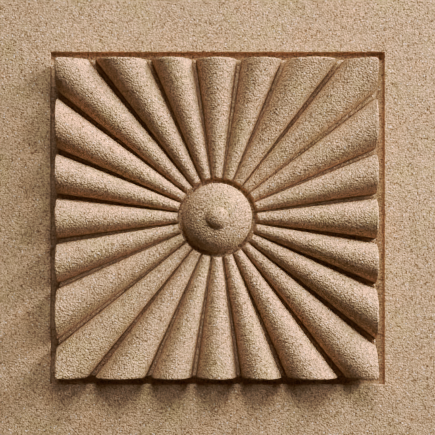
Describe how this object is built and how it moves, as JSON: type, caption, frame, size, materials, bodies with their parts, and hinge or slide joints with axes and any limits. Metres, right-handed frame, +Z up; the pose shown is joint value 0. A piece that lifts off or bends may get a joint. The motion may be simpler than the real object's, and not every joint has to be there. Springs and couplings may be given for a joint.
{
  "type": "stone rosette medallion",
  "caption": "Square carved stone rosette block with radiating half-round reeds and a domed boss, bedded in a square sinking in a plain slab.",
  "frame": {"origin": "centre of the slab's flat back face, where it meets the wall", "axes": "+Y into the wall, out of the flat back; the carved front faces -Y; +Z up; +X to the right of someone facing the carving"},
  "size_m": [0.178, 0.0412, 0.178],
  "materials": {
    "carved_stone": "fine rubbed, granular",
    "slab_stone": "fine rubbed, granular"
  },
  "bodies": {
    "root": {"rosette_block": "carved_stone", "surround_slab": "slab_stone"}
  },
  "joints": []
}
